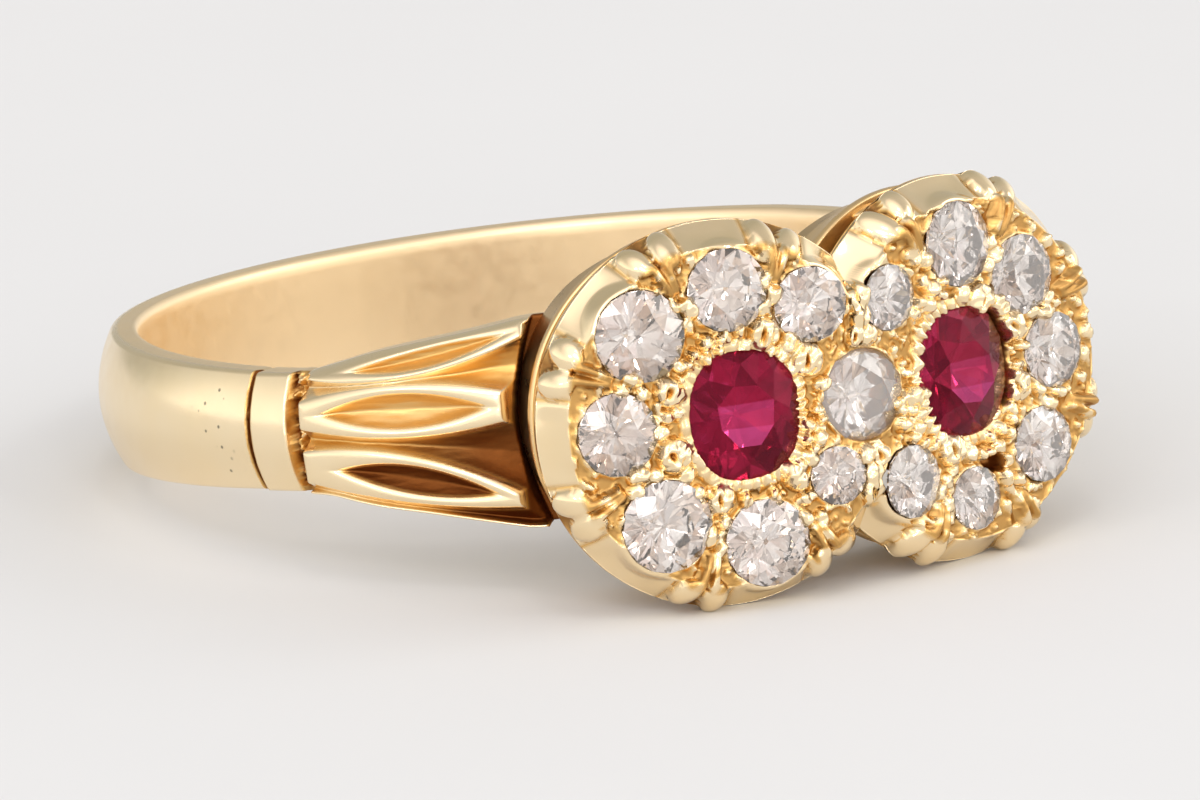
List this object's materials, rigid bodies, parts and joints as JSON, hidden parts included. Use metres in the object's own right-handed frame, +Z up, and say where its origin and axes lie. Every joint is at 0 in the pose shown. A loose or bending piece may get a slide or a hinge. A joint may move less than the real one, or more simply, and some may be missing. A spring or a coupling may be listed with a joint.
{
  "type": "cluster ring",
  "caption": "Gold finger ring with two round clusters of diamonds, each about a ruby, and a band with leaf-carved shoulders, lying on its side.",
  "frame": {"origin": "middle of the part's plan, on the surface that it lies on", "axes": "+Z up, the face of the ring looks along -Y, and the two clusters lie side by side along X"},
  "size_m": [0.019, 0.0219, 0.0078],
  "materials": {
    "gold": "polished gold, worn",
    "ruby": "faceted, deep pinkish red",
    "diamond": "faceted, colourless"
  },
  "bodies": {
    "root": {"ring_mount": "gold", "ruby_left": "ruby", "ruby_right": "ruby", "diamond_shared": "diamond", "diamond_left_1": "diamond", "diamond_left_2": "diamond", "diamond_left_3": "diamond", "diamond_left_4": "diamond", "diamond_left_5": "diamond", "diamond_left_6": "diamond", "diamond_left_7": "diamond", "diamond_right_1": "diamond", "diamond_right_2": "diamond", "diamond_right_3": "diamond", "diamond_right_4": "diamond", "diamond_right_5": "diamond", "diamond_right_6": "diamond", "diamond_right_7": "diamond"}
  },
  "joints": []
}
